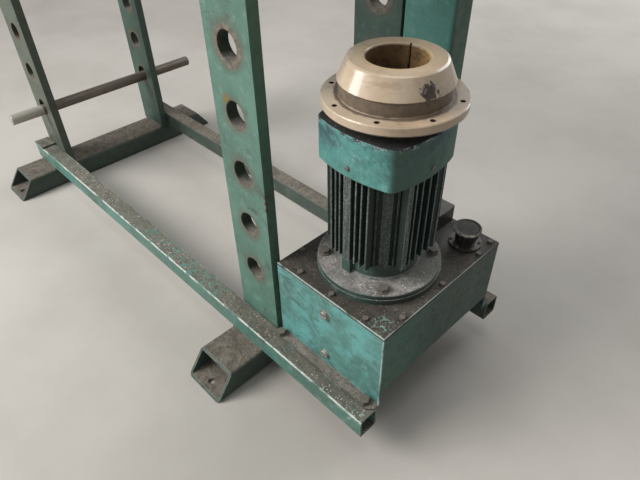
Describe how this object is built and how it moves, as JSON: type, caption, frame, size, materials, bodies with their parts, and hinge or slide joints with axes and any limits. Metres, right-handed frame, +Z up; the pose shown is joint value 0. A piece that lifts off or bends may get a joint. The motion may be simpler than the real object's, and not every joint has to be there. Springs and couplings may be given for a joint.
{
  "type": "hydraulic press",
  "caption": "Standing H-frame workshop press with drilled uprights, pinned bed, overhead ram and an electric power pack at one end.",
  "frame": {"origin": "on the floor, at the centre of the rectangle of four anchor holes, midway between the uprights", "axes": "+X along the rails towards the power pack, +Y from the front to the back, +Z up"},
  "size_m": [1.8658, 0.925, 2.21],
  "materials": {
    "green_paint": "worn semi-gloss enamel",
    "dark_green_paint": "worn enamel with dust",
    "cream_paint": "glossy enamel",
    "dark_steel": "oxidised bar",
    "bright_steel": "machined",
    "zinc_steel": "dull zinc",
    "hard_chrome": "ground and polished",
    "grey_iron": "as cast",
    "light_metal": "cast",
    "copper_windings": "varnished windings",
    "black_rubber": "matt",
    "black_plastic": "matt",
    "grey_plastic": "matt",
    "green_plastic": "gloss",
    "red_plastic": "gloss",
    "white_dial": "satin",
    "clear_glass": "clear"
  },
  "bodies": {
    "frame": {"front_left_upright": "green_paint", "back_left_upright": "green_paint", "front_right_upright": "green_paint", "back_right_upright": "green_paint", "left_foot": "dark_green_paint", "right_foot": "dark_green_paint", "front_rail": "dark_green_paint", "back_rail": "dark_green_paint", "support_bar": "dark_steel", "bed_pins": "dark_steel", "press_bed": "green_paint", "front_head_channel": "green_paint", "back_head_channel": "green_paint", "head_bolts": "zinc_steel", "cylinder_plate": "green_paint", "cylinder_barrel": "green_paint", "cylinder_gland": "bright_steel", "rod_seal": "black_rubber", "cylinder_cap": "green_paint", "oil_tank": "green_paint", "tank_lid": "dark_green_paint", "tank_bolts": "zinc_steel", "tank_plugs": "green_paint", "filler_neck": "black_plastic", "mount_ring": "dark_green_paint", "motor_flange": "dark_green_paint", "motor_screws": "zinc_steel", "motor_frame": "dark_green_paint", "stator": "copper_windings", "motor_bearings": "bright_steel", "rear_shield": "grey_iron", "fan_cowl": "green_paint", "terminal_box": "green_paint", "flanged_ring": "cream_paint", "pump_carrier": "light_metal", "pump_body": "light_metal", "suction_strainer": "zinc_steel", "manifold_block": "dark_steel", "oil_pipes": "zinc_steel", "control_column": "dark_green_paint", "column_bolts": "zinc_steel", "valve_body": "grey_iron", "switch_box": "grey_plastic", "gauge_case": "white_dial", "gauge_glass": "clear_glass"},
    "ram_unit": {"ram": "hard_chrome", "piston": "bright_steel", "ram_nose": "dark_steel"},
    "motor_rotor": {"rotor": "bright_steel", "fan": "black_plastic", "shaft_couplings": "grey_iron", "coupling_spider": "black_rubber", "pump_drive_gear": "bright_steel"},
    "pump_idler": {"pump_driven_gear": "bright_steel"},
    "breather": {"filler_cap": "black_plastic"},
    "hand_lever": {"valve_lever": "bright_steel"},
    "spool": {"valve_spool": "bright_steel"},
    "pointer": {"gauge_pointer": "light_metal"},
    "start": {"start_button": "green_plastic"},
    "stop": {"stop_button": "red_plastic"}
  },
  "joints": [
    {"name": "ram_slide", "type": "slide", "parent": "frame", "child": "ram_unit", "axis": [0, 0, -1], "range_m": [0, 0.25]},
    {"name": "motor_spin", "type": "hinge", "parent": "frame", "child": "motor_rotor", "pos_m": [0.93, -0.047, 0.6], "axis": [0, 0, 1], "continuous": true},
    {"name": "pump_gear_spin", "type": "hinge", "parent": "frame", "child": "pump_idler", "pos_m": [0.894, -0.047, 0.25], "axis": [0, 0, 1], "continuous": true},
    {"name": "filler_cap_turn", "type": "hinge", "parent": "frame", "child": "breather", "pos_m": [1.0423, 0.1616, 0.42], "axis": [0, 0, 1], "range_deg": [0, 60]},
    {"name": "valve_lever_tilt", "type": "hinge", "parent": "frame", "child": "hand_lever", "pos_m": [0.88405, 0.1755, 1.3], "axis": [0, 1, 0], "range_deg": [-15, 15], "stiffness_Nm_per_rad": 8},
    {"name": "spool_slide", "type": "slide", "parent": "frame", "child": "spool", "axis": [1, 0, 0], "range_m": [-0.00786, 0.00786]},
    {"name": "gauge_pointer_turn", "type": "hinge", "parent": "frame", "child": "pointer", "pos_m": [0.8182, 0.1905, 1.18], "axis": [0, 1, 0], "range_deg": [0, 270], "stiffness_Nm_per_rad": 0.0005, "springref_deg": -11.46},
    {"name": "start_press", "type": "slide", "parent": "frame", "child": "start", "axis": [0, 1, 0], "range_m": [0, 0.004], "stiffness_N_per_m": 500, "springref_m": -0.001},
    {"name": "stop_press", "type": "slide", "parent": "frame", "child": "stop", "axis": [0, 1, 0], "range_m": [0, 0.004], "stiffness_N_per_m": 500, "springref_m": -0.001}
  ],
  "couplings": [
    {"joint": "pump_gear_spin", "follows": "motor_spin", "ratio": -1},
    {"joint": "spool_slide", "follows": "valve_lever_tilt", "m_per_rad": 0.03}
  ]
}
